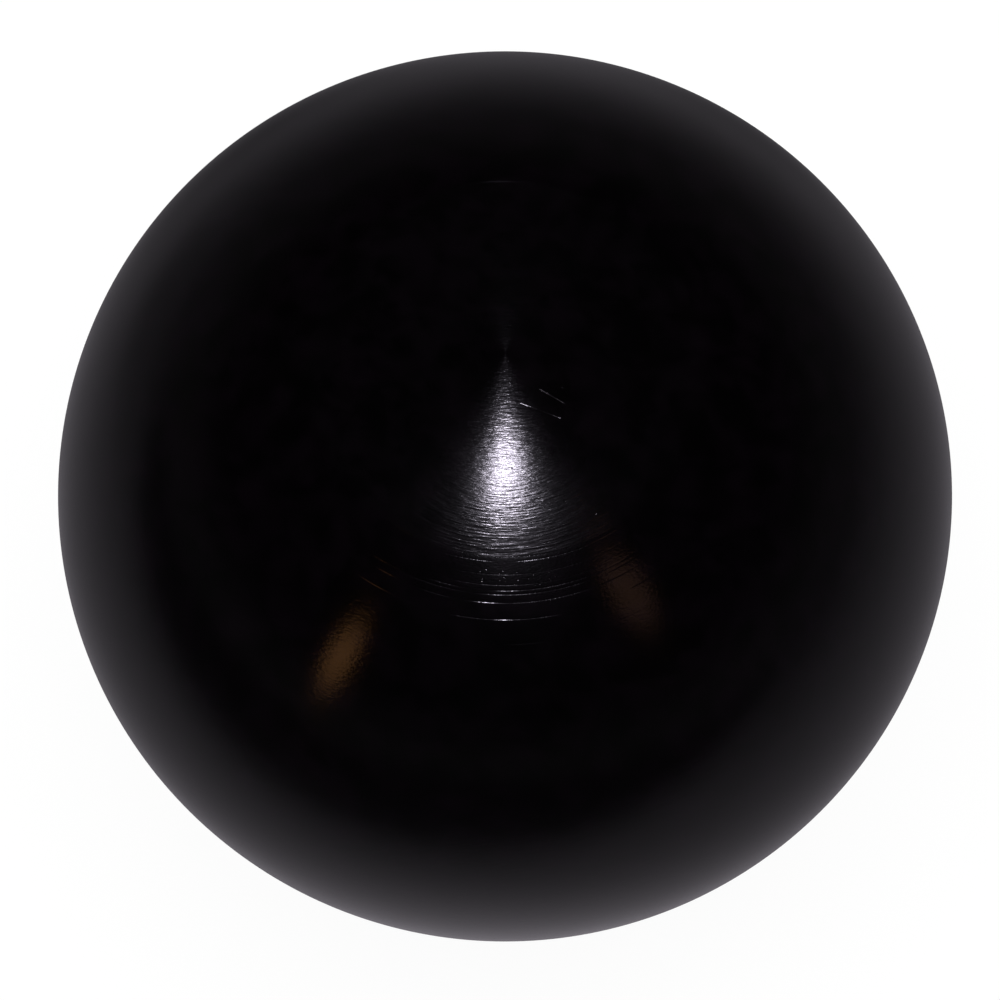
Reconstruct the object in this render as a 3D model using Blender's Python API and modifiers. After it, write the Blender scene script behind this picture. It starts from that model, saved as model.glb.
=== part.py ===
"""A black composition lawn bowl with an inlaid mount in each side.

Metres, +Z up. The bowl lies on its bias side, as it does on a table: +Z is its running
axis, from the bias side to the plain side, and the origin is the centre of the flat land
that it lies on. Every piece is turned about that axis, so each one is a profile in the
XZ plane with a Screw modifier.
"""

import math

import bpy

# ---- Driving dimensions of the turned body ----
RUNNING_RADIUS = 0.0605  # at the running plane, where the bowl meets the green
PLAIN_SIDE_RISE = 0.0572  # from the running plane to the top of the plain side
BIAS_SIDE_RISE = 0.0592  # the fuller side, before its end is faced off to the land
LAND_WIDTH = 0.0052  # flat land that the bowl lies on, round the bias mount's recess

# ---- Mounts, let into a round recess in each side ----
PLAIN_MOUNT_RADIUS = 0.0250  # the large one, domed to carry on the bowl's curve
PLAIN_MOUNT_EDGE = 0.0025  # its thickness at its rim
BIAS_MOUNT_RADIUS = 0.0145  # the small one, with a flat face
BIAS_MOUNT_THICKNESS = 0.0030
BIAS_MOUNT_SINK = 0.0004  # how far its face lies inside the land, clear of scuffs
ADHESIVE_THICKNESS = 0.0004  # the film that bonds each mount to its recess floor

# ---- The dimple by which a hand finds the bias side ----
DIMPLE_RADIUS = 0.0050
DIMPLE_DEPTH = 0.0012

# ---- Small features ----
CENTRE_HOLE_RADIUS = 0.0016  # where the lathe centres held the blank, under each mount
CENTRE_HOLE_HALF_ANGLE = math.radians(30)
EDGE_BREAK = 0.0003  # chamfer on each mount's sharp edges
CLEARANCE = 0.0003  # between a piece and its neighbour, on every side

# ---- How finely the turned shapes are divided ----
TURNED_STEPS = 64  # round the axis
ARC_STEP = math.radians(5)  # along a profile

# ---- Radii and heights that follow from the sizes above ----
PLAIN_RECESS_RADIUS = PLAIN_MOUNT_RADIUS + CLEARANCE
BIAS_RECESS_RADIUS = BIAS_MOUNT_RADIUS + CLEARANCE
LAND_RADIUS = BIAS_RECESS_RADIUS + LAND_WIDTH
RUNNING_PLANE = BIAS_SIDE_RISE * math.sqrt(1 - (LAND_RADIUS / RUNNING_RADIUS) ** 2)
BOND_HEIGHT = ADHESIVE_THICKNESS + 2 * CLEARANCE  # from a recess floor to its mount

MATERIALS = {
    # name: (linear colour, roughness)
    "polished_composition": ((0.010, 0.009, 0.011), 0.30),
    "mount_composition": ((0.011, 0.010, 0.012), 0.28),
    "cured_adhesive": ((0.38, 0.24, 0.08), 0.45),
}


def plain_side_height(radius):
    """Height of the plain side's curve at a distance from the axis."""
    return RUNNING_PLANE + PLAIN_SIDE_RISE * math.sqrt(1 - (radius / RUNNING_RADIUS) ** 2)


PLAIN_MOUNT_BACK = plain_side_height(PLAIN_MOUNT_RADIUS) - PLAIN_MOUNT_EDGE
PLAIN_RECESS_FLOOR = PLAIN_MOUNT_BACK - BOND_HEIGHT
BIAS_MOUNT_BACK = BIAS_MOUNT_SINK + BIAS_MOUNT_THICKNESS
BIAS_RECESS_FLOOR = BIAS_MOUNT_BACK + BOND_HEIGHT


def elliptic_arc(rise, start_radius, end_radius, side):
    """Points along the bowl's curve, both ends included, as (radius, height) pairs.

    side is 1 above the running plane and -1 below it. The angle is measured at the
    centre of the ellipse, from the running plane.
    """
    start = math.acos(start_radius / RUNNING_RADIUS)
    end = math.acos(end_radius / RUNNING_RADIUS)
    count = max(2, round(abs(end - start) / ARC_STEP))
    points = []
    for i in range(count + 1):
        angle = start + (end - start) * i / count
        height = RUNNING_PLANE + side * rise * math.sin(angle)
        points.append((RUNNING_RADIUS * math.cos(angle), height))
    return points


def body_profile():
    """From the plain side's centre hole, out and down the bowl, to the bias side's."""
    hole_depth = CENTRE_HOLE_RADIUS / math.tan(CENTRE_HOLE_HALF_ANGLE)
    plain_curve = elliptic_arc(PLAIN_SIDE_RISE, PLAIN_RECESS_RADIUS, RUNNING_RADIUS, 1)
    bias_curve = elliptic_arc(BIAS_SIDE_RISE, RUNNING_RADIUS, LAND_RADIUS, -1)
    return [
        (0, PLAIN_RECESS_FLOOR - hole_depth),
        (CENTRE_HOLE_RADIUS, PLAIN_RECESS_FLOOR),
        (PLAIN_RECESS_RADIUS, PLAIN_RECESS_FLOOR),
        *plain_curve,
        *bias_curve[1:],
        (BIAS_RECESS_RADIUS, 0),
        (BIAS_RECESS_RADIUS, BIAS_RECESS_FLOOR),
        (CENTRE_HOLE_RADIUS, BIAS_RECESS_FLOOR),
        (0, BIAS_RECESS_FLOOR + hole_depth),
    ]


def plain_mount_profile():
    """The large mount: a dome that carries on the plain side's curve, and a flat back."""
    dome_radius = PLAIN_MOUNT_RADIUS - EDGE_BREAK
    dome = elliptic_arc(PLAIN_SIDE_RISE, 0, dome_radius, 1)
    return [
        *dome,
        (PLAIN_MOUNT_RADIUS, dome[-1][1] - EDGE_BREAK),
        (PLAIN_MOUNT_RADIUS, PLAIN_MOUNT_BACK),
        (0, PLAIN_MOUNT_BACK),
    ]


def bias_mount_profile():
    """The small mount: a flat disc, with the dimple in the face that points down."""
    sphere_radius = (DIMPLE_RADIUS**2 + DIMPLE_DEPTH**2) / (2 * DIMPLE_DEPTH)
    half_angle = math.asin(DIMPLE_RADIUS / sphere_radius)
    sphere_height = BIAS_MOUNT_SINK + DIMPLE_DEPTH - sphere_radius
    count = max(3, round(half_angle / ARC_STEP))
    dimple = []
    for i in range(count + 1):
        angle = half_angle * (1 - i / count)
        height = sphere_height + sphere_radius * math.cos(angle)
        dimple.append((sphere_radius * math.sin(angle), height))
    return [
        (0, BIAS_MOUNT_BACK),
        (BIAS_MOUNT_RADIUS, BIAS_MOUNT_BACK),
        (BIAS_MOUNT_RADIUS, BIAS_MOUNT_SINK + EDGE_BREAK),
        (BIAS_MOUNT_RADIUS - EDGE_BREAK, BIAS_MOUNT_SINK),
        *dimple,
    ]


def film_profile(mount_radius, bottom):
    """The adhesive under a mount: a thin disc, short of the mount's rim by the clearance."""
    radius = mount_radius - CLEARANCE
    top = bottom + ADHESIVE_THICKNESS
    return [(0, top), (radius, top), (radius, bottom), (0, bottom)]


def make_material(name):
    colour, roughness = MATERIALS[name]
    material = bpy.data.materials.new(name)
    material.use_nodes = True
    shader = material.node_tree.nodes["Principled BSDF"]
    shader.inputs["Base Color"].default_value = (*colour, 1)
    shader.inputs["Roughness"].default_value = roughness
    shader.inputs["Metallic"].default_value = 0
    return material


def turned(name, profile, material, collection):
    """A profile of (radius, height) points, outer side running down, turned about Z."""
    mesh = bpy.data.meshes.new(name)
    edges = [(i, i + 1) for i in range(len(profile) - 1)]
    mesh.from_pydata([(radius, 0, height) for radius, height in profile], edges, [])
    piece = bpy.data.objects.new(name, mesh)
    piece.data.materials.append(material)
    collection.objects.link(piece)
    screw = piece.modifiers.new("turned", "SCREW")
    screw.steps = TURNED_STEPS
    screw.render_steps = TURNED_STEPS
    screw.use_merge_vertices = True
    screw.merge_threshold = 0.00001
    screw.use_smooth_shade = True
    return piece


def main():
    for leftover in list(bpy.data.objects):
        bpy.data.objects.remove(leftover)
    collection = bpy.data.collections.new("lawn_bowl")
    bpy.context.scene.collection.children.link(collection)
    materials = {name: make_material(name) for name in MATERIALS}
    composition = materials["polished_composition"]
    mount = materials["mount_composition"]
    adhesive = materials["cured_adhesive"]

    turned("bowl_body", body_profile(), composition, collection)
    turned("plain_side_mount", plain_mount_profile(), mount, collection)
    turned("bias_side_mount", bias_mount_profile(), mount, collection)
    plain_film = film_profile(PLAIN_MOUNT_RADIUS, PLAIN_RECESS_FLOOR + CLEARANCE)
    turned("plain_side_adhesive", plain_film, adhesive, collection)
    bias_film = film_profile(BIAS_MOUNT_RADIUS, BIAS_MOUNT_BACK + CLEARANCE)
    turned("bias_side_adhesive", bias_film, adhesive, collection)


main()
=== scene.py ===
"""A black composition lawn bowl, lying on its bias side: fine turned surfaces and finishes.

Run as a script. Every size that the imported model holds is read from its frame, in metres,
+Z up along the running axis; what is set here is only the finish, the stage and the camera.
"""

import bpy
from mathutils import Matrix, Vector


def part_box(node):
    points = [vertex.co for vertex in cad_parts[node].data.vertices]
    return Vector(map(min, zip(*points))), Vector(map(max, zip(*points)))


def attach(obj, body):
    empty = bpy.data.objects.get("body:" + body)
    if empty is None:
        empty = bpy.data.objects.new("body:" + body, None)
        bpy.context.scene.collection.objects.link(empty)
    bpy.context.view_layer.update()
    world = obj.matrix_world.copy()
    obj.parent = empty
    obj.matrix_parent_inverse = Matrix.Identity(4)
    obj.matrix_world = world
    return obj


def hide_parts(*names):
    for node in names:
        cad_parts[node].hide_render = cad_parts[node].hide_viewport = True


bl_info = {
    "name": "Lawn Bowl",
    "version": (1, 0, 0),
    "blender": (4, 5, 0),
    "location": "View3D > Sidebar > Lawn Bowl",
    "description": "Turns a lawn bowl, inlays its mounts and sets it on a studio table",
    "category": "Add Mesh",
}

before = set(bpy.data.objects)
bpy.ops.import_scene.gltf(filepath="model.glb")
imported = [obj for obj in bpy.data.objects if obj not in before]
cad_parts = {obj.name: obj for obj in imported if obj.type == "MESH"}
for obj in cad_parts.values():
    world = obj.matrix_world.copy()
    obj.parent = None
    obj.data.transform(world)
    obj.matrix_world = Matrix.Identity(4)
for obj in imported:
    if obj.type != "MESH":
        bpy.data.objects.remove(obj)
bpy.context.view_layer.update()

import math

import bpy
import numpy as np
from bpy.props import FloatProperty, FloatVectorProperty, IntProperty, PointerProperty
from mathutils import Vector

BODY = "root"
MM = 0.001
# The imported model's gap round each piece, and the small hole at each recess floor's centre.
CLEARANCE = 0.3 * MM
CENTRE_HOLE_RADIUS = 1.6 * MM
CENTRE_HOLE_SLOPE = math.tan(math.radians(30))
# How near a packed point is to a radius or a plane when it is taken to lie on it.
TOUCHING = 1e-6
# The radii that round the bias mount's edge and the outer edge of the land.
BIAS_MOUNT_ROUNDING = 0.2 * MM
LAND_ROUNDING = 1.2 * MM
# Faces that meet at more than this angle meet in a sharp edge.
SHARP_ANGLE = math.radians(50)


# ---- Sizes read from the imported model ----


def node_points(node):
    """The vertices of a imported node, as an array with a row of x, y, z for each."""
    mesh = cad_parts[node].data
    points = np.empty(len(mesh.vertices) * 3)
    mesh.vertices.foreach_get("co", points)
    return points.reshape(-1, 3)


def read_bowl():
    """The bowl's driving sizes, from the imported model's points.

    The running radius is the body's largest, and the running plane is where it is found.
    The land is what touches z = 0. Each side's rise is that of the half ellipse that ends at
    the running plane and passes through the plain mount's top, or through the land's edge.
    """
    body = node_points("bowl_body")
    radii = np.hypot(body[:, 0], body[:, 1])
    running_radius = radii.max()
    running_plane = body[radii > running_radius - TOUCHING, 2].mean()
    land_radius = radii[body[:, 2] < TOUCHING].max()
    plain_low, plain_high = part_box("plain_side_mount")
    bias_low, bias_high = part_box("bias_side_mount")
    return {
        "running_radius": running_radius,
        "running_plane": running_plane,
        "land_radius": land_radius,
        "plain_rise": plain_high.z - running_plane,
        "bias_rise": running_plane / math.sqrt(1 - (land_radius / running_radius) ** 2),
        "plain_mount_radius": plain_high.x,
        "plain_mount_back": plain_low.z,
        "plain_recess_floor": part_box("plain_side_adhesive")[0].z - CLEARANCE,
        "bias_mount_radius": bias_high.x,
        "bias_mount_face": bias_low.z,
        "bias_mount_back": bias_high.z,
        "bias_recess_floor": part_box("bias_side_adhesive")[1].z + CLEARANCE,
    }


BOWL = read_bowl()


# ---- Properties that a user would change ----


class LawnBowlTurning(bpy.types.PropertyGroup):
    """How finely the bowl is turned, and the marks that the lathe left."""

    steps: IntProperty(name="Steps", description="Faces round the axis", default=288, min=48)
    spacing: FloatProperty(
        name="Spacing",
        description="Distance between the rings of points on the running surface",
        default=0.75 * MM, unit="LENGTH", precision=5,
    )
    mount_spacing: FloatProperty(
        name="Mount spacing",
        description="Distance between the rings of points on a mount's face",
        default=0.09 * MM, unit="LENGTH", precision=5,
    )
    joint: FloatProperty(
        name="Joint",
        description="Width of the hairline between a mount and the body",
        default=0.012 * MM, unit="LENGTH", precision=5,
    )
    edge: FloatProperty(
        name="Edge",
        description="Radius to which polishing has rounded each edge of the hairline",
        default=0.010 * MM, unit="LENGTH", precision=5,
    )
    ring_depth: FloatProperty(
        name="Ring depth",
        description="Depth of the deepest ring cut beside the plain mount",
        default=0.030 * MM, unit="LENGTH", precision=6,
    )
    line_depth: FloatProperty(
        name="Line depth",
        description="Depth of the deepest fine line across a mount",
        default=0.009 * MM, unit="LENGTH", precision=6,
    )


class LawnBowlFinish(bpy.types.PropertyGroup):
    """Colours and polish."""

    body_colour: FloatVectorProperty(
        name="Body colour", description="Black phenolic composition", subtype="COLOR",
        size=3, min=0, max=1, default=(0.0010, 0.0004, 0.0010),
    )
    mount_colour: FloatVectorProperty(
        name="Mount colour", description="The black of the inlaid mounts", subtype="COLOR",
        size=3, min=0, max=1, default=(0.0011, 0.0005, 0.0011),
    )
    adhesive_colour: FloatVectorProperty(
        name="Adhesive colour", description="Cured amber resin", subtype="COLOR",
        size=3, min=0, max=1, default=(0.38, 0.24, 0.08),
    )
    body_roughness: FloatProperty(
        name="Body roughness", description="Of the polished body", default=0.14, min=0, max=1,
    )
    mount_roughness: FloatProperty(
        name="Mount roughness", description="Of the mounts, between their marks",
        default=0.162, min=0, max=1,
    )
    grooving: FloatProperty(
        name="Grooving", description="How much wider a highlight is across the turning lines",
        default=0.68, min=0, max=1,
    )


class LawnBowlStage(bpy.types.PropertyGroup):
    """The camera, the lights and the table."""

    elevation: FloatProperty(
        name="Camera elevation", description="Above the table", subtype="ANGLE",
        default=math.radians(72),
    )
    distance: FloatProperty(
        name="Camera distance", description="From the bowl's centre", unit="LENGTH",
        default=0.70,
    )
    lens: FloatProperty(name="Lens", description="Focal length in millimetres", default=185.6)
    flash_power: FloatProperty(
        name="Flash power", description="Of the small lamp beside the camera", unit="POWER",
        default=1.25,
    )
    flash_rise: FloatProperty(
        name="Flash rise", description="Angle from the camera up to the flash",
        subtype="ANGLE", default=math.radians(9.0),
    )
    soft_light: FloatProperty(
        name="Soft light", description="Strength of the even light that falls on the table",
        default=1.0, min=0,
    )
    table_colour: FloatVectorProperty(
        name="Table colour", description="Pale studio table", subtype="COLOR",
        size=3, min=0, max=1, default=(0.97, 0.97, 0.97),
    )


# ---- Turned surfaces ----


def bowl_outline(count=6000):
    """The bowl's whole curve from the top pole to the land's edge, as arrays s, r, z.

    Each half is a quarter ellipse: r is the running radius times the cosine of an angle, and
    z is the running plane plus that side's rise times its sine. s is the distance along it.
    """
    last = math.acos(BOWL["land_radius"] / BOWL["running_radius"])
    angle = np.linspace(math.pi / 2, -last, count)
    rise = np.where(angle > 0, BOWL["plain_rise"], BOWL["bias_rise"])
    radius = BOWL["running_radius"] * np.cos(angle)
    height = BOWL["running_plane"] + rise * np.sin(angle)
    step = np.hypot(np.diff(radius), np.diff(height))
    return np.concatenate([[0], np.cumsum(step)]), radius, height


OUTLINE = bowl_outline()


def curve_at(distance):
    """Points (r, z) and outward normals of the bowl's curve, at distances from the pole."""
    s, r, z = OUTLINE
    points = np.stack([np.interp(distance, s, r), np.interp(distance, s, z)], axis=-1)
    slope_r = np.interp(distance, s, np.gradient(r, s))
    slope_z = np.interp(distance, s, np.gradient(z, s))
    normals = np.stack([-slope_z, slope_r], axis=-1)
    return points, normals / np.linalg.norm(normals, axis=-1, keepdims=True)


def distance_to(radius, plain=True):
    """How far along the curve from the pole a circle of this radius is, on either side."""
    s, r, _ = OUTLINE
    equator = int(np.argmax(r))
    if plain:
        return np.interp(radius, r[:equator + 1], s[:equator + 1])
    return np.interp(-np.asarray(radius), -r[equator:], s[equator:])


def fillet(before, corner, after, count=6):
    """A rounded corner: the parabola that leaves one side and joins the next smoothly."""
    t = np.linspace(0, 1, count)[:, None]
    before, corner, after = (np.asarray(p, float) for p in (before, corner, after))
    return (1 - t) ** 2 * before + 2 * t * (1 - t) * corner + t**2 * after


def gapped(samples, least):
    """Sorted samples, without those closer than the least distance to the one before."""
    samples = np.sort(samples)
    slots = np.floor(samples / least).astype(int)
    _, first = np.unique(slots, return_index=True)
    return samples[first]


def waver(rng, count, angles, finest=36):
    """For each of count rings, how strongly it is cut at each angle, about 1 on average.

    It is a sum of waves round the circle, with random phases, so it closes on itself.
    """
    waves = np.arange(2, finest)
    phase = rng.uniform(0, 2 * math.pi, (count, len(waves), 1))
    weight = rng.normal(0, 1, (count, len(waves), 1)) / math.sqrt(len(waves))
    return np.clip(1 + 0.9 * (weight * np.sin(waves[:, None] * angles + phase)).sum(1), 0, 2)


def ring_relief(distance, angles, rings, rng):
    """Height of every point above the plain curve, as a grid of distance by angle.

    Each ring is a groove with a bell-shaped section: minus its depth times the exponential
    of minus the square of the distance to it over its width, times its wavering strength.
    """
    places, depths, widths = rings
    bells = np.exp(-(((distance[:, None] - places) / widths) ** 2))
    return -(bells * depths) @ waver(rng, len(places), angles)


def fine_rings(rng, start, end, pitch, depth):
    """Many shallow rings between two distances, unevenly spaced, as a lathe tool leaves."""
    count = int((end - start) / pitch)
    places = start + np.cumsum(rng.uniform(0.5, 1.5, count) * pitch)
    places = places[places < end]
    depths = depth * rng.uniform(0.15, 1, len(places)) ** 1.5
    return places, depths, rng.uniform(0.16, 0.26, len(places)) * pitch


def joined(*rings):
    """Sets of rings as one set: their places, their depths and their widths end to end."""
    return tuple(np.concatenate(column) for column in zip(*rings))


def turned_mesh(name, points, normals, relief):
    """A closed surface of revolution about Z, made of quads, with a triangle fan at each pole.

    points and normals hold (r, z) down the outside, the first and last on the axis. Point i
    at angle a is at r cos a, r sin a, z, moved out along its normal by relief[i, a].
    """
    steps = relief.shape[1]
    angles = round_angles(steps)
    moved = points[1:-1, None, :] + normals[1:-1, None, :] * relief[1:-1, :, None]
    radius, height = moved[..., 0], moved[..., 1]
    rings = np.stack([radius * np.cos(angles), radius * np.sin(angles), height], axis=-1)
    poles = np.array([[0, 0, points[0, 1]], [0, 0, points[-1, 1]]])
    vertices = np.concatenate([rings.reshape(-1, 3), poles])

    index = np.arange(rings.shape[0] * steps).reshape(-1, steps)
    after = np.roll(index, -1, axis=1)
    quads = np.stack([index[:-1], index[1:], after[1:], after[:-1]], axis=-1).reshape(-1)
    top, bottom = len(vertices) - 2, len(vertices) - 1
    first, last = index[0], index[-1]
    top_fan = np.stack([np.full(steps, top), first, after[0]], axis=-1).reshape(-1)
    bottom_fan = np.stack([np.full(steps, bottom), after[-1], last], axis=-1).reshape(-1)
    corners = np.concatenate([quads, top_fan, bottom_fan])
    sizes = np.concatenate([np.full(len(quads) // 4, 4), np.full(2 * steps, 3)])

    mesh = bpy.data.meshes.new(name)
    mesh.vertices.add(len(vertices))
    mesh.vertices.foreach_set("co", vertices.reshape(-1))
    mesh.loops.add(len(corners))
    mesh.loops.foreach_set("vertex_index", corners)
    mesh.polygons.add(len(sizes))
    mesh.polygons.foreach_set("loop_start", np.concatenate([[0], np.cumsum(sizes)[:-1]]))
    mesh.update(calc_edges=True)
    mesh.validate()
    mesh.shade_smooth()
    mesh.set_sharp_from_angle(angle=SHARP_ANGLE)
    return mesh


def place(name, mesh, material, node):
    """Puts a finished surface in the scene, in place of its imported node."""
    mesh.materials.append(material)
    piece = bpy.data.objects.new(name, mesh)
    bpy.context.scene.collection.objects.link(piece)
    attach(piece, BODY)
    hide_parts(node)
    return piece


def normals_along(points):
    """The unit normals of a line through (r, z) points: its direction turned a quarter."""
    along = np.gradient(points, axis=0)
    normals = np.stack([-along[:, 1], along[:, 0]], axis=-1)
    return normals / np.linalg.norm(normals, axis=-1, keepdims=True)


def round_angles(steps):
    """Evenly spaced angles round the axis, counted from +X."""
    return np.arange(steps) * (2 * math.pi / steps)


# ---- Materials ----

MARK_CORE = 4 * MM
# A turn round the axis and a length along it: the unit of a mount's flecks, of the body's
# shorter ones, and of the streaks.
MOUNT_FLECK = (0.092, 0.27 * MM)
BODY_FLECK = (0.014, 0.24 * MM)
STREAK = (0.20, 0.28 * MM)
# Depths of the flecks and of the streaks, on a mount and on the body.
MOUNT_MARKS = (0.033 * MM, 0.014 * MM)
BODY_MARKS = (0.016 * MM, 0.002 * MM)
# Between these distances from the axis the streaks deepen, from one share to the other.
STREAK_GROWTH = (14 * MM, 23 * MM, 0.5, 2.2)
# Each noise's scale, detail and roughness.
FLECK_NOISE = (1.0, 3.0, 0.55)
STREAK_NOISE = (1.0, 2.0)
MOTTLE_NOISE = (220.0, 5.0, 0.65)
WORN_NOISE = (90.0, 4.0, 0.6)
CLOUD_NOISE = (260.0, 4.0, 0.55)
# How the mottling darkens and lightens a colour, and how a worn place changes roughness.
MOTTLE_SHARES = (0.5, 1.8)
WORN_ROUGHNESS = (-0.01, 0.02)
COMPOSITION_IOR = 1.56
RESIN_IOR = 1.52
# Spacing, radius and depth of the pits, and of the chips.
PIT = (3.6 * MM, 0.13 * MM, 0.035 * MM)
CHIP = (0.60 * MM, 0.13 * MM, 0.026 * MM)
# Where the chips are: the middle of an oval patch, and its half-width and half-length.
CHIPPED_PATCH = ((1.5 * MM, -27.2 * MM), (7.0 * MM, 1.7 * MM))


class Wiring:
    """A material's node tree, with short ways to add nodes and join them."""

    def __init__(self, name):
        self.material = bpy.data.materials.new(name)
        self.material.use_nodes = True
        self.tree = self.material.node_tree
        self.shader = self.tree.nodes["Principled BSDF"]

    def add(self, kind, inputs=None, **settings):
        node = self.tree.nodes.new("ShaderNode" + kind)
        for name, value in settings.items():
            setattr(node, name, value)
        for key, value in (inputs or {}).items():
            if isinstance(value, bpy.types.NodeSocket):
                self.tree.links.new(value, node.inputs[key])
            else:
                node.inputs[key].default_value = value
        return node

    def maths(self, operation, a, b=0.0, clamp=False):
        node = self.add("Math", {0: a, 1: b}, operation=operation, use_clamp=clamp)
        return node.outputs[0]

    def vectors(self, operation, a, b=(0, 0, 0)):
        return self.add("VectorMath", {0: a, 1: b}, operation=operation)

    def ramp(self, value, low, high, start=0.0, end=1.0):
        inputs = {"Value": value, 1: low, 2: high, 3: start, 4: end}
        return self.add("MapRange", inputs, interpolation_type="SMOOTHSTEP").outputs[0]

    def noise(self, vector, scale, detail=2.0, roughness=0.5):
        inputs = {"Vector": vector, "Scale": scale, "Detail": detail, "Roughness": roughness}
        return self.add("TexNoise", inputs).outputs["Fac"]

    def between(self, factor, colour, low, high):
        """A colour that goes from its low share to its high share as the factor grows."""
        ends = [(*(share * c for c in colour), 1) for share in (low, high)]
        inputs = {"Factor": factor, 6: ends[0], 7: ends[1]}
        return self.add("Mix", inputs, data_type="RGBA").outputs[2]

    def set(self, **values):
        for name, value in values.items():
            socket = self.shader.inputs[name.replace("_", " ")]
            if isinstance(value, bpy.types.NodeSocket):
                self.tree.links.new(value, socket)
            else:
                socket.default_value = value


def turned_space(wiring):
    """Object coordinates as a lathe sees them: a direction round the axis, and s along it.

    The direction is (x, y) over the distance to the axis plus a core, so that marks near the
    axis are shorter but never vanish. s is the angle at the bowl's centre from the axis,
    times the running radius.
    """
    place_of = wiring.add("TexCoord").outputs["Object"]
    split = wiring.add("SeparateXYZ", {0: place_of})
    x, y, z = split.outputs
    flat = wiring.add("CombineXYZ", {0: x, 1: y, 2: 0.0}).outputs[0]
    radius = wiring.vectors("LENGTH", flat).outputs["Value"]
    height = wiring.maths("SUBTRACT", z, BOWL["running_plane"])
    angle = wiring.maths("ARCTAN2", radius, height)
    along = wiring.maths("MULTIPLY", angle, BOWL["running_radius"])
    reach = wiring.maths("ADD", radius, MARK_CORE)
    across_x = wiring.maths("DIVIDE", x, reach)
    across_y = wiring.maths("DIVIDE", y, reach)
    return place_of, across_x, across_y, along


def stretched(wiring, space, turn, length):
    """A noise vector whose unit is an angle of turn round the axis and a length along it."""
    _, across_x, across_y, along = space
    inputs = {
        0: wiring.maths("MULTIPLY", across_x, 1 / turn),
        1: wiring.maths("MULTIPLY", across_y, 1 / turn),
        2: wiring.maths("MULTIPLY", along, 1 / length),
    }
    return wiring.add("CombineXYZ", inputs).outputs[0]


def scratch(wiring, place_of, start, end, width, depth):
    """Height of one straight scratch: minus its depth on its line, rising to 0 beside it."""
    start, end = Vector(start), Vector(end)
    run = end - start
    from_start = wiring.vectors("SUBTRACT", place_of, start).outputs[0]
    share = wiring.vectors("DOT_PRODUCT", from_start, run / run.length_squared)
    share = wiring.maths("ADD", share.outputs["Value"], 0.0, clamp=True)
    nearest = wiring.add("VectorMath", {0: run, "Scale": share}, operation="SCALE")
    aside = wiring.vectors("DISTANCE", from_start, nearest.outputs[0]).outputs["Value"]
    return wiring.ramp(aside, 0.0, width, -depth, 0.0)


def pits(wiring, place_of, spacing, radius, depth):
    """Height of tiny round pits scattered through the solid, one to each cell of a Voronoi."""
    cells = wiring.add("TexVoronoi", {"Vector": place_of, "Scale": 1 / spacing})
    inner = wiring.maths("MULTIPLY", cells.outputs["Distance"], spacing)
    return wiring.ramp(inner, 0.0, radius, -depth, 0.0)


def patch(wiring, place_of, spot, reach):
    """1 on an oval patch about a spot (x, y), falling to 0 at its rim."""
    offset = wiring.vectors("SUBTRACT", place_of, (*spot, 0)).outputs[0]
    shares = wiring.vectors("MULTIPLY", offset, (1 / reach[0], 1 / reach[1], 0)).outputs[0]
    distance = wiring.vectors("LENGTH", shares).outputs["Value"]
    whole_within = 0.6
    return wiring.ramp(distance, whole_within, 1.0, 1.0, 0.0)


def composition(name, colour, polish, grooving, fleck, grain, lines, scratches=(), chipped=None):
    """Black composition, turned and polished: fine grain and lines round the axis.

    fleck is the unit of the grain, and grain and lines are depths. The grain is short flecks
    left by polishing and the lines are long ones left by the lathe. Both are cut into the
    surface as bumps, with a few pits and scratches, and tiny chips on the chipped patch.
    The black is mottled, and slightly duller where it has been handled.
    """
    wiring = Wiring(name)
    space = turned_space(wiring)
    place_of = space[0]
    flecks = wiring.noise(stretched(wiring, space, *fleck), *FLECK_NOISE)
    streaks = wiring.noise(stretched(wiring, space, *STREAK), *STREAK_NOISE)
    streaks = wiring.maths("MULTIPLY", streaks, wiring.ramp(space[3], *STREAK_GROWTH))
    height = wiring.maths(
        "ADD",
        wiring.maths("MULTIPLY", flecks, grain),
        wiring.maths("MULTIPLY", streaks, lines),
    )
    height = wiring.maths("ADD", height, pits(wiring, place_of, *PIT))
    if chipped:
        chips = wiring.maths(
            "MULTIPLY", pits(wiring, place_of, *CHIP), patch(wiring, place_of, *chipped)
        )
        height = wiring.maths("ADD", height, chips)
    for start, end, width, depth in scratches:
        height = wiring.maths("ADD", height, scratch(wiring, place_of, start, end, width, depth))
    bump = wiring.add("Bump", {"Strength": 1.0, "Distance": 1.0, "Height": height})
    tangent = wiring.add("Tangent", direction_type="RADIAL", axis="Z")

    mottle = wiring.ramp(wiring.noise(place_of, *MOTTLE_NOISE), 0.35, 0.7)
    tint = wiring.between(mottle, colour, *MOTTLE_SHARES)
    worn = wiring.noise(place_of, *WORN_NOISE)
    least, most = (polish + change for change in WORN_ROUGHNESS)
    roughness = wiring.ramp(worn, 0.35, 0.75, least, most)
    wiring.set(
        Base_Color=tint,
        Roughness=roughness,
        IOR=COMPOSITION_IOR,
        Anisotropic=grooving,
        Anisotropic_Rotation=0.25,
        Normal=bump.outputs[0],
        Tangent=tangent.outputs[0],
    )
    return wiring.material


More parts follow.
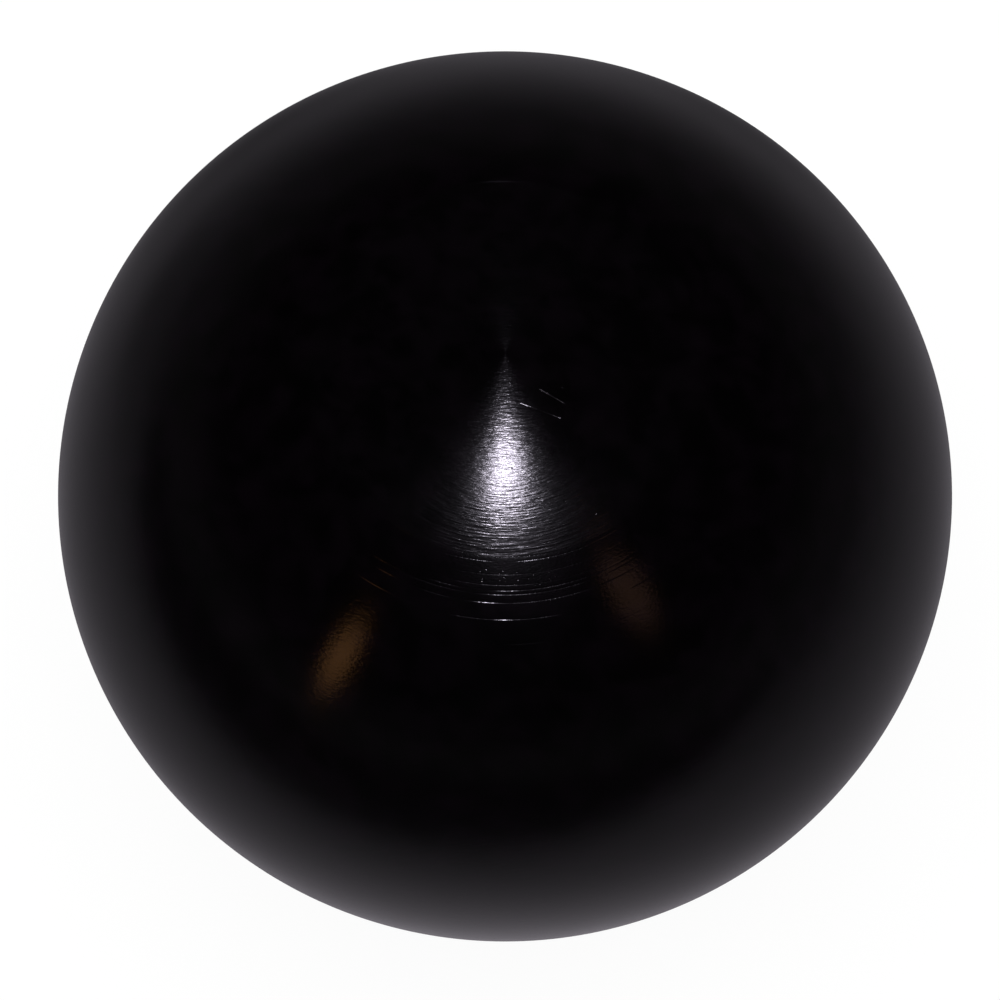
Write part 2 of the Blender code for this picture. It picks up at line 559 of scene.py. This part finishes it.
def resin(name, colour):
    """Cured amber adhesive, slightly cloudy and uneven."""
    wiring = Wiring(name)
    place_of = wiring.add("TexCoord").outputs["Object"]
    cloud = wiring.noise(place_of, *CLOUD_NOISE)
    tint = wiring.between(wiring.ramp(cloud, 0.3, 0.7), colour, 0.55, 1.0)
    swirl = wiring.maths("MULTIPLY", wiring.noise(place_of, 900.0, 3.0), 0.02 * MM)
    bump = wiring.add("Bump", {"Strength": 1.0, "Distance": 1.0, "Height": swirl})
    wiring.set(
        Base_Color=tint,
        Roughness=wiring.ramp(cloud, 0.3, 0.7, 0.38, 0.5),
        IOR=RESIN_IOR,
        Normal=bump.outputs[0],
    )
    return wiring.material


# ---- Operators: one for each piece, and one for the stage ----

# Rings cut beside the plain mount: radius, share of the full depth, width, in millimetres.
PLAIN_RINGS = (
    (25.65, 0.38, 0.05),
    (27.15, 0.22, 0.05),
    (28.35, 0.32, 0.05),
    (28.95, 0.66, 0.08),
    (29.40, 0.74, 0.08),
    (30.35, 0.54, 0.05),
    (32.20, 0.43, 0.05),
    (34.90, 0.25, 0.05),
)
# No plain ring reaches past this radius, and the rings fade in over the margin at the joint.
PLAIN_RINGS_END = 40 * MM
JOINT_MARGIN = 0.5 * MM
# The same three numbers beside the bias side's land.
BIAS_RINGS = (
    (22.40, 0.60, 0.08),
    (24.10, 0.90, 0.09),
    (24.75, 0.50, 0.07),
    (27.60, 0.70, 0.08),
)
# Points across a ring: from, to, in its widths, and how many. No two are nearer than a step.
RING_SAMPLES = (-2.2, 2.2, 11)
LEAST_STEP = 0.02 * MM
DIMPLE_EASING = 0.08
# Scratches on the plain mount: from (x, y), to (x, y), width, depth, in millimetres.
SCRATCHES = (
    ((4.3, -4.7), (7.3, -6.4), 0.08, 0.0088),
    ((1.8, -6.5), (6.8, -8.3), 0.09, 0.0098),
)


class LAWNBOWL_OT_turn_body(bpy.types.Operator):
    """Turns the bowl's body, with its recesses, its land and the rings beside its mounts"""

    bl_idname = "lawn_bowl.turn_body"
    bl_label = "Turn body"

    def execute(self, context):
        turning, finish = context.scene.lawn_bowl_turning, context.scene.lawn_bowl_finish
        rng = np.random.default_rng(2574)
        lip = turning.joint / 2
        joint_radius = BOWL["plain_mount_radius"] + CLEARANCE / 2 + lip
        first = distance_to(joint_radius + turning.edge)
        last = OUTLINE[0][-1] - LAND_ROUNDING

        plain = np.array(PLAIN_RINGS) * (MM, turning.ring_depth, MM)
        bias = np.array(BIAS_RINGS) * (MM, turning.ring_depth, MM)
        rings = joined(
            (distance_to(plain[:, 0]), plain[:, 1], plain[:, 2]),
            (distance_to(bias[:, 0], plain=False), bias[:, 1], bias[:, 2]),
        )
        spread = np.linspace(*RING_SAMPLES)
        around = (rings[0][:, None] + rings[2][:, None] * spread).reshape(-1)
        distance = gapped(
            np.concatenate([np.arange(first, last, turning.spacing), around, [last]]),
            LEAST_STEP,
        )
        distance = distance[(distance >= first) & (distance <= last)]
        curve, curve_normals = curve_at(distance)

        angles = round_angles(turning.steps)
        relief = ring_relief(distance, angles, rings, rng)
        relief[distance < distance_to(PLAIN_RINGS_END)] *= self.wear(angles)
        fade = np.clip((distance - first) / JOINT_MARGIN, 0, 1)[:, None]

        hole = CENTRE_HOLE_RADIUS
        rim_z = curve_at(distance_to(joint_radius))[0][1]
        before = np.array([
            (0, BOWL["plain_recess_floor"] - hole / CENTRE_HOLE_SLOPE),
            (hole, BOWL["plain_recess_floor"]),
            (joint_radius, BOWL["plain_recess_floor"]),
            *fillet((joint_radius, rim_z - turning.edge), (joint_radius, rim_z), curve[0])[:-1],
        ])
        bias_edge = BOWL["bias_mount_radius"] + CLEARANCE / 2 + lip
        land, rounding = BOWL["land_radius"], BIAS_MOUNT_ROUNDING
        after = np.array([
            *fillet(curve[-1], (land, 0), (land - LAND_ROUNDING, 0))[1:],
            *fillet((bias_edge + rounding, 0), (bias_edge, 0), (bias_edge, rounding)),
            (bias_edge, BOWL["bias_recess_floor"]),
            (hole, BOWL["bias_recess_floor"]),
            (0, BOWL["bias_recess_floor"] + hole / CENTRE_HOLE_SLOPE),
        ])
        points = np.concatenate([before, curve, after])
        normals = np.concatenate([before * 0, curve_normals, after * 0])
        still = np.zeros((1, turning.steps))
        relief = np.concatenate([
            np.repeat(still, len(before), 0), relief * fade, np.repeat(still, len(after), 0)
        ])
        mesh = turned_mesh("polished_body", points, normals, relief)
        material = composition(
            "polished_composition", finish.body_colour, finish.body_roughness,
            finish.grooving, BODY_FLECK, *BODY_MARKS, chipped=CHIPPED_PATCH,
        )
        place("polished_body", mesh, material, "bowl_body")
        return {"FINISHED"}

    def wear(self, angles):
        """How much of the rings beside the plain mount polishing has left at each angle.

        All of it in front, at -Y, and a tenth of it behind: between them it follows the sixth
        power of half of one minus the angle's sine.
        """
        behind = 0.1
        return behind + (1 - behind) * (0.5 - 0.5 * np.sin(angles)) ** 6


class LAWNBOWL_OT_turn_plain_mount(bpy.types.Operator):
    """Turns the large domed mount of the plain side, with the fine lines across its face"""

    bl_idname = "lawn_bowl.turn_plain_mount"
    bl_label = "Turn plain-side mount"

    def execute(self, context):
        turning, finish = context.scene.lawn_bowl_turning, context.scene.lawn_bowl_finish
        rng = np.random.default_rng(23)
        radius = BOWL["plain_mount_radius"] + (CLEARANCE - turning.joint) / 2
        end = distance_to(radius - turning.edge)
        distance = np.arange(0, end, turning.mount_spacing)
        angles = round_angles(turning.steps)
        places, depths, widths = fine_rings(
            rng, 0.8 * MM, end - 0.4 * MM, 0.60 * MM, turning.line_depth
        )
        # The lines are shallow from the axis to 0.6 of the way out and full from 0.9.
        deepening = 0.15 + 0.85 * np.clip((places / end - 0.6) / 0.3, 0, 1)
        relief = ring_relief(distance, angles, (places, depths * deepening, widths), rng)
        face, face_normals = curve_at(distance)

        rim_z = curve_at(distance_to(radius))[0][1]
        back = np.array([
            *fillet(face[-1], (radius, rim_z), (radius, rim_z - turning.edge))[1:],
            (radius, BOWL["plain_mount_back"]),
            (0, BOWL["plain_mount_back"]),
        ])
        points = np.concatenate([face, back])
        normals = np.concatenate([face_normals, back * 0])
        relief = np.concatenate([relief, np.zeros((len(back), turning.steps))])
        mesh = turned_mesh("plain_side_disc", points, normals, relief)
        material = composition(
            "mount_composition", finish.mount_colour, finish.mount_roughness,
            finish.grooving, MOUNT_FLECK, *MOUNT_MARKS, self.handling_marks(),
        )
        place("plain_side_disc", mesh, material, "plain_side_mount")
        return {"FINISHED"}

    def handling_marks(self):
        """Each scratch's two ends on the domed face, its width and its depth."""
        for start, end, width, depth in SCRATCHES:
            ends = []
            for x, y in (start, end):
                (_, height), _ = curve_at(distance_to(math.hypot(x, y) * MM))
                ends.append((x * MM, y * MM, height))
            yield (*ends, width * MM, depth * MM)


class LAWNBOWL_OT_turn_bias_mount(bpy.types.Operator):
    """Turns the small mount of the bias side, with the dimple that the finger finds"""

    bl_idname = "lawn_bowl.turn_bias_mount"
    bl_label = "Turn bias-side mount"

    dimple_radius: FloatProperty(
        name="Dimple radius", description="Where the dimple meets the face",
        default=5 * MM, unit="LENGTH", precision=5,
    )
    dimple_depth: FloatProperty(
        name="Dimple depth", description="At the axis", default=1.2 * MM, unit="LENGTH",
        precision=5,
    )

    def execute(self, context):
        turning, finish = context.scene.lawn_bowl_turning, context.scene.lawn_bowl_finish
        rng = np.random.default_rng(37)
        radius = BOWL["bias_mount_radius"] + (CLEARANCE - turning.joint) / 2
        face_z = BOWL["bias_mount_face"]
        rounding, spacing = BIAS_MOUNT_ROUNDING, turning.mount_spacing
        across = np.arange(radius - rounding, spacing, -2 * spacing)
        # A parabola's dish, whose rim is eased: its square over itself plus a little.
        inside = np.clip(1 - (across / self.dimple_radius) ** 2, 0, None)
        softened = inside**2 / (inside + DIMPLE_EASING)
        face = np.stack([across, face_z + self.dimple_depth * softened], axis=-1)
        face_normals = normals_along(face)
        angles = round_angles(turning.steps)
        rings = fine_rings(rng, 0.8 * MM, radius - 0.8 * MM, 0.7 * MM, turning.line_depth)
        relief = ring_relief(across, angles, rings, rng)

        front = np.array([
            (0, BOWL["bias_mount_back"]),
            (radius, BOWL["bias_mount_back"]),
            *fillet((radius, face_z + rounding), (radius, face_z), face[0])[:-1],
        ])
        centre = np.array([[0, face_z + self.dimple_depth / (1 + DIMPLE_EASING)]])
        points = np.concatenate([front, face, centre])
        normals = np.concatenate([front * 0, face_normals, centre * 0])
        still = np.zeros((1, turning.steps))
        relief = np.concatenate([np.repeat(still, len(front), 0), relief, still])
        mesh = turned_mesh("bias_side_disc", points, normals, relief)
        material = composition(
            "bias_mount_composition", finish.mount_colour, finish.mount_roughness,
            finish.grooving, MOUNT_FLECK, *MOUNT_MARKS,
        )
        place("bias_side_disc", mesh, material, "bias_side_mount")
        return {"FINISHED"}


class LAWNBOWL_OT_spread_adhesive(bpy.types.Operator):
    """Gives the two films of adhesive behind the mounts their cured resin"""

    bl_idname = "lawn_bowl.spread_adhesive"
    bl_label = "Spread adhesive"

    def execute(self, context):
        material = resin("cured_adhesive", context.scene.lawn_bowl_finish.adhesive_colour)
        for node in ("plain_side_adhesive", "bias_side_adhesive"):
            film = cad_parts[node]
            film.data.materials.clear()
            film.data.materials.append(material)
        return {"FINISHED"}


def hung_lamp(name, place_of, facing, size, power, colour):
    """An elliptical lamp at a place, facing along a direction. It lights only gloss."""
    lamp = bpy.data.lights.new(name, "AREA")
    lamp.shape = "ELLIPSE"
    lamp.size, lamp.size_y = size
    lamp.energy = power
    lamp.color = colour
    holder = bpy.data.objects.new(name, lamp)
    holder.location = place_of
    holder.rotation_euler = (-facing).to_track_quat("Z", "Y").to_euler()
    holder.visible_diffuse = False
    bpy.context.scene.collection.objects.link(holder)


def seen_by_camera(tree, seen, unseen):
    """Joins two shaders into one output: the first for the camera, the second for the rest."""
    path = tree.nodes.new("ShaderNodeLightPath")
    mix = tree.nodes.new("ShaderNodeMixShader")
    tree.links.new(path.outputs["Is Camera Ray"], mix.inputs[0])
    tree.links.new(unseen, mix.inputs[1])
    tree.links.new(seen, mix.inputs[2])
    return mix.outputs[0]


TABLE_RADIUS = 6.0
TABLE_SIDES = 96
# What the camera sees of the table: the matt share of its colour, and its own glow. The
# backdrop's glow is a little stronger, so that the two meet with no line.
TABLE_MATT = 0.14
TABLE_GLOW = 0.925
BACKDROP_GLOW = 1.03
# The dark room in gloss: its strength at the height of the table, and overhead.
ROOM_STRENGTH = (0.034, 0.003)
CAMERA_ASIDE = (-0.68 * MM, -0.70 * MM)
FLASH_SIZE = (0.03, 0.03)
FLASH_COLOUR = (0.985, 0.92, 1.09)
LAMP_DISTANCE = 1.2
# Name, bearing and rise in degrees, the spot on the bowl, size, power and colour.
ROOM_LAMPS = (
    ("lamp_left", -41, 21.5, (-0.0209, -0.0352, 0.098), (0.13, 0.44), 0.125, (1, 0.46, 0.16)),
    ("lamp_right", 41.0, 42.0, (0.0164, -0.0291, 0.1036), (0.18, 0.42), 0.052, (1, 0.52, 0.34)),
)
# The table as the bowl reflects it, a painted pool of light: the reach and strength of the
# pool round the bowl, and the strength everywhere. Forward of the pool's edge, along a
# direction, it darkens between two distances to a share.
POOL_REACH = 0.230
POOL_STRENGTH = 0.17
POOL_BASE = 0.03
POOL_FORWARD = (-0.45, -0.90, 0)
POOL_EDGE = (0.11, 0.27, 1.0, 0.2)
# Patches of it: place, reach, and strength. A glow is a painted patch of light, and a shade is a
# painted shadow, darker.
POOL_PAINTED_GLOWS = (((0, -0.070), 0.050, 0.125),)
POOL_PAINTED_SHADOWS = (
    ((-0.060, 0.110), 0.055, 0.62),
    ((0.054, 0.104), 0.045, 0.55),
    ((-0.230, 0.165), 0.090, 0.40),
)
# The colour of the painted pool of light.
POOL_COLOUR = (1.0, 0.935, 1.04)


class LAWNBOWL_OT_set_stage(bpy.types.Operator):
    """Lays the table, hangs the lamps and sets up the camera"""

    bl_idname = "lawn_bowl.set_stage"
    bl_label = "Set stage"

    def execute(self, context):
        scene, stage = context.scene, context.scene.lawn_bowl_stage
        centre = Vector((0, 0, BOWL["running_plane"]))
        towards = Vector((0, -math.cos(stage.elevation), math.sin(stage.elevation)))
        right = Vector((1, 0, 0))
        up = towards.cross(right)
        self.lay_table(scene, stage)
        self.light_world(scene, stage)
        self.set_camera(scene, stage, centre, towards, right, up)

        flash = towards * math.cos(stage.flash_rise) + up * math.sin(stage.flash_rise)
        hung_lamp(
            "flash", centre + flash * stage.distance, -flash, FLASH_SIZE,
            stage.flash_power, FLASH_COLOUR,
        )
        for name, bearing, rise, *rest in ROOM_LAMPS:
            self.hang_room_lamp(name, math.radians(bearing), math.radians(rise), *rest)
        return {"FINISHED"}

    def hang_room_lamp(self, name, bearing, rise, spot, size, power, colour):
        """A tall dim lamp across the room, whose reflection is a smudge beside the flash.

        It hangs at a bearing from the front and a rise, as seen from the spot on the bowl
        where its reflection falls.
        """
        facing = Vector((
            math.sin(bearing) * math.cos(rise), -math.cos(bearing) * math.cos(rise),
            math.sin(rise),
        ))
        hung_lamp(name, Vector(spot) + facing * LAMP_DISTANCE, -facing, size, power, colour)

    def lay_table(self, scene, stage):
        """A wide round table top at z = 0, which looks brighter than its reflection does:
        reflections see a painted pool of light and painted shadows on it.
        """
        angles = round_angles(TABLE_SIDES)
        rim = TABLE_RADIUS * np.stack([np.cos(angles), np.sin(angles), 0 * angles], axis=-1)
        mesh = bpy.data.meshes.new("table_top")
        mesh.from_pydata(rim.tolist(), [], [list(range(TABLE_SIDES))])
        table = bpy.data.objects.new("table_top", mesh)
        scene.collection.objects.link(table)

        wiring = Wiring("pale_table")
        wiring.tree.nodes.remove(wiring.shader)
        matt_colour = (*(TABLE_MATT * c for c in stage.table_colour), 1)
        matt = wiring.add("BsdfDiffuse", {"Color": matt_colour})
        glow_inputs = {"Color": (*stage.table_colour, 1), "Strength": TABLE_GLOW}
        glow = wiring.add("Emission", glow_inputs)
        both = wiring.add("AddShader", {0: matt.outputs[0], 1: glow.outputs[0]})
        # The painted pool of light and painted shadows, which only reflections see.
        pool = wiring.add("Emission", {
            "Color": (*POOL_COLOUR, 1), "Strength": self.painted_pool_strength(wiring),
        })
        surface = seen_by_camera(wiring.tree, both.outputs[0], pool.outputs[0])
        output = wiring.tree.nodes["Material Output"]
        wiring.tree.links.new(surface, output.inputs["Surface"])
        wiring.material.cycles.emission_sampling = "NONE"
        mesh.materials.append(wiring.material)

    def painted_pool_strength(self, wiring):
        """How bright the table is to a reflection, at each place: a painted pool of light.

        It falls off as 1 / (1 + (distance / reach) squared) round the bowl, ends in the dark
        in front, and has soft bell-shaped painted glows of light and painted shadows.
        """
        place_of = wiring.add("TexCoord").outputs["Object"]
        distance = wiring.vectors("LENGTH", place_of).outputs["Value"]
        ratio = wiring.maths("DIVIDE", distance, POOL_REACH)
        fall = wiring.maths("ADD", wiring.maths("POWER", ratio, 2.0), 1.0)
        strength = wiring.maths("ADD", wiring.maths("DIVIDE", POOL_STRENGTH, fall), POOL_BASE)
        forward = wiring.vectors("DOT_PRODUCT", place_of, POOL_FORWARD).outputs["Value"]
        edge = wiring.ramp(forward, *POOL_EDGE)
        strength = wiring.maths("MULTIPLY", strength, edge)
        # Painted patches of light.
        for spot, reach, amount in POOL_PAINTED_GLOWS:
            bell = self.bell(wiring, place_of, spot, reach)
            strength = wiring.maths("ADD", strength, wiring.maths("MULTIPLY", bell, amount))
        # Painted shadows, each darkening the pool by its share.
        for spot, reach, amount in POOL_PAINTED_SHADOWS:
            bell = self.bell(wiring, place_of, spot, reach)
            kept = wiring.maths("SUBTRACT", 1.0, wiring.maths("MULTIPLY", bell, amount))
            strength = wiring.maths("MULTIPLY", strength, kept)
        return strength

    def bell(self, wiring, place_of, spot, reach):
        """The exponential of minus the square of the distance to a spot over the reach."""
        distance = wiring.vectors("DISTANCE", place_of, (*spot, 0)).outputs["Value"]
        ratio = wiring.maths("DIVIDE", distance, reach)
        power = wiring.maths("MULTIPLY", wiring.maths("POWER", ratio, 2.0), -1.0)
        return wiring.maths("EXPONENT", power)

    def light_world(self, scene, stage):
        """A pale backdrop to the camera, even light on matt things, and a dark room in gloss."""
        world = bpy.data.worlds.new("studio")
        scene.world = world
        world.use_nodes = True
        world.cycles.sampling_method = "NONE"
        tree = world.node_tree
        tree.nodes.clear()
        output = tree.nodes.new("ShaderNodeOutputWorld")
        backdrop = tree.nodes.new("ShaderNodeBackground")
        backdrop.inputs["Color"].default_value = (*stage.table_colour, 1)
        backdrop.inputs["Strength"].default_value = BACKDROP_GLOW
        direction = tree.nodes.new("ShaderNodeTexCoord")
        split = tree.nodes.new("ShaderNodeSeparateXYZ")
        tree.links.new(direction.outputs["Generated"], split.inputs[0])
        room = tree.nodes.new("ShaderNodeMapRange")
        room.interpolation_type = "SMOOTHSTEP"
        for socket, value in zip(room.inputs[1:5], (0.0, 0.35, *ROOM_STRENGTH)):
            socket.default_value = value
        tree.links.new(split.outputs["Z"], room.inputs["Value"])
        dark = tree.nodes.new("ShaderNodeBackground")
        tree.links.new(room.outputs[0], dark.inputs["Color"])
        even = tree.nodes.new("ShaderNodeBackground")
        even.inputs["Color"].default_value = (1, 1, 1, 1)
        even.inputs["Strength"].default_value = stage.soft_light
        path = tree.nodes.new("ShaderNodeLightPath")
        unseen = tree.nodes.new("ShaderNodeMixShader")
        tree.links.new(path.outputs["Is Diffuse Ray"], unseen.inputs[0])
        tree.links.new(dark.outputs[0], unseen.inputs[1])
        tree.links.new(even.outputs[0], unseen.inputs[2])
        shown = seen_by_camera(tree, backdrop.outputs[0], unseen.outputs[0])
        tree.links.new(shown, output.inputs["Surface"])

    def set_camera(self, scene, stage, centre, towards, right, up):
        camera = bpy.data.cameras.new("camera")
        camera.lens = stage.lens
        camera.sensor_width = 36
        camera.clip_start = 0.01
        holder = bpy.data.objects.new("camera", camera)
        aside = right * CAMERA_ASIDE[0] + up * CAMERA_ASIDE[1]
        holder.location = centre + aside + towards * stage.distance
        holder.rotation_euler = towards.to_track_quat("Z", "Y").to_euler()
        scene.collection.objects.link(holder)
        scene.camera = holder
        scene.view_settings.view_transform = "Standard"


class LAWNBOWL_PT_panel(bpy.types.Panel):
    """Sizes, finishes and the steps that make the bowl"""

    bl_idname = "LAWNBOWL_PT_panel"
    bl_label = "Lawn Bowl"
    bl_space_type = "VIEW_3D"
    bl_region_type = "UI"
    bl_category = "Lawn Bowl"

    def draw(self, context):
        for group in ("lawn_bowl_turning", "lawn_bowl_finish", "lawn_bowl_stage"):
            box = self.layout.box()
            settings = getattr(context.scene, group)
            for name in settings.__annotations__:
                box.prop(settings, name)
        for operator in OPERATORS:
            self.layout.operator(operator.bl_idname)


OPERATORS = (
    LAWNBOWL_OT_turn_body,
    LAWNBOWL_OT_turn_plain_mount,
    LAWNBOWL_OT_turn_bias_mount,
    LAWNBOWL_OT_spread_adhesive,
    LAWNBOWL_OT_set_stage,
)
GROUPS = {
    "lawn_bowl_turning": LawnBowlTurning,
    "lawn_bowl_finish": LawnBowlFinish,
    "lawn_bowl_stage": LawnBowlStage,
}


def register():
    for group in GROUPS.values():
        bpy.utils.register_class(group)
    for operator in OPERATORS:
        bpy.utils.register_class(operator)
    bpy.utils.register_class(LAWNBOWL_PT_panel)
    for name, group in GROUPS.items():
        setattr(bpy.types.Scene, name, PointerProperty(type=group))


def unregister():
    for name in GROUPS:
        delattr(bpy.types.Scene, name)
    bpy.utils.unregister_class(LAWNBOWL_PT_panel)
    for operator in reversed(OPERATORS):
        bpy.utils.unregister_class(operator)
    for group in reversed(list(GROUPS.values())):
        bpy.utils.unregister_class(group)


def main():
    register()
    bpy.ops.lawn_bowl.turn_body()
    bpy.ops.lawn_bowl.turn_plain_mount()
    bpy.ops.lawn_bowl.turn_bias_mount()
    bpy.ops.lawn_bowl.spread_adhesive()
    bpy.ops.lawn_bowl.set_stage()


if __name__ == "__main__":
    main()
